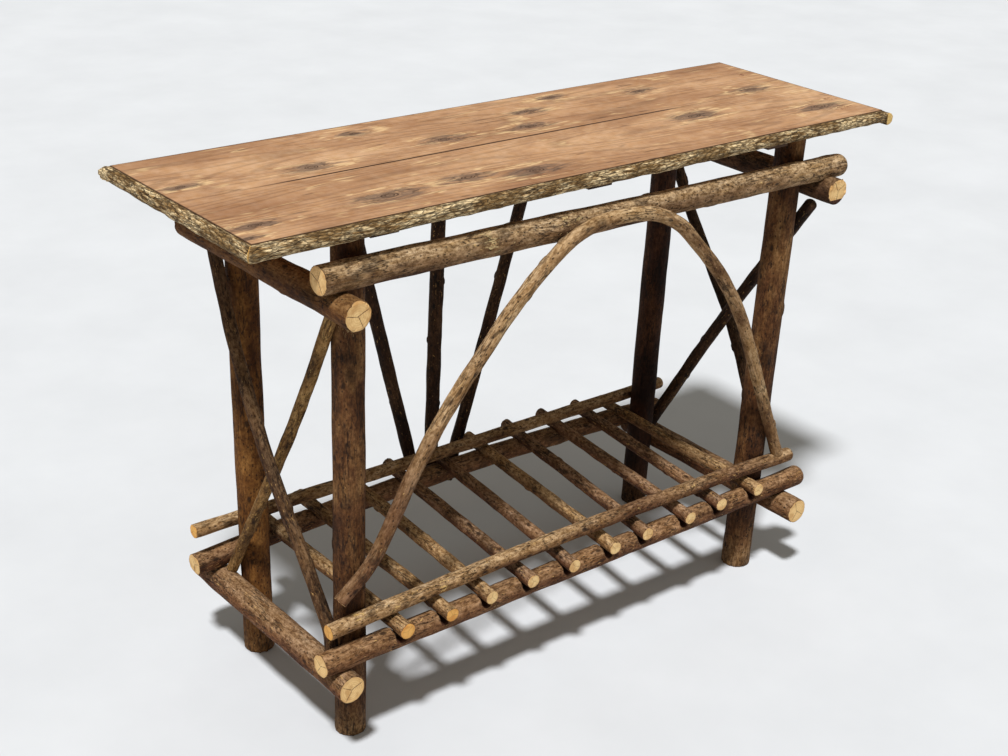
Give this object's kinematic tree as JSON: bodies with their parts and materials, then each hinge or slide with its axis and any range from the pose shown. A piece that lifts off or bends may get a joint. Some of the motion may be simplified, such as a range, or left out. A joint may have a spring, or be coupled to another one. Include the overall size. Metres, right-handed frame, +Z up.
{
  "type": "side table",
  "caption": "Long narrow rustic table of bark-on poles with a two-board pine top, a slatted lower shelf, a bent sapling arch in front and crossed braces at the ends.",
  "frame": {"origin": "on the floor under the middle of the top", "axes": "+X along the table to the right, +Y from the front to the back, +Z up"},
  "size_m": [1.21, 0.4491, 0.8152],
  "materials": {
    "pine_top": "stained pine, worn satin",
    "batten_pine": "rough sawn pine",
    "trim_bark": "grey-gold bark",
    "post_bark": "dark reddish bark",
    "rail_bark": "mottled grey-brown bark, pale sawn ends",
    "sapling_bark": "tan smooth bark, pale sawn ends",
    "stick_bark": "dark bark",
    "nail_iron": "dull iron"
  },
  "bodies": {
    "root": {"arch_nails": "nail_iron", "back_board": "pine_top", "back_stick_centre": "stick_bark", "back_stick_left": "stick_bark", "back_stick_right": "stick_bark", "batten_left": "batten_pine", "batten_middle": "batten_pine", "batten_nails": "nail_iron", "batten_right": "batten_pine", "brace_left_inner": "stick_bark", "brace_left_outer": "stick_bark", "brace_nails": "nail_iron", "brace_right_inner": "stick_bark", "brace_right_outer": "stick_bark", "frame_nails": "nail_iron", "front_arch": "sapling_bark", "front_board": "pine_top", "lower_back_rail": "rail_bark", "lower_end_rail_left": "rail_bark", "lower_end_rail_right": "rail_bark", "lower_front_rail": "rail_bark", "post_back_left": "post_bark", "post_back_right": "post_bark", "post_front_left": "post_bark", "post_front_right": "post_bark", "slat_01": "sapling_bark", "slat_02": "sapling_bark", "slat_03": "sapling_bark", "slat_04": "sapling_bark", "slat_05": "sapling_bark", "slat_06": "sapling_bark", "slat_07": "sapling_bark", "slat_08": "sapling_bark", "slat_09": "sapling_bark", "slat_10": "sapling_bark", "slat_nails": "nail_iron", "stick_nails": "nail_iron", "thin_back_rail": "sapling_bark", "thin_front_rail": "sapling_bark", "thin_rail_nails": "nail_iron", "top_back_rail": "rail_bark", "top_end_rail_left": "rail_bark", "top_end_rail_right": "rail_bark", "top_front_rail": "rail_bark", "trim_back": "trim_bark", "trim_front": "trim_bark", "trim_left": "trim_bark", "trim_nails": "nail_iron", "trim_right": "trim_bark"}
  },
  "joints": []
}
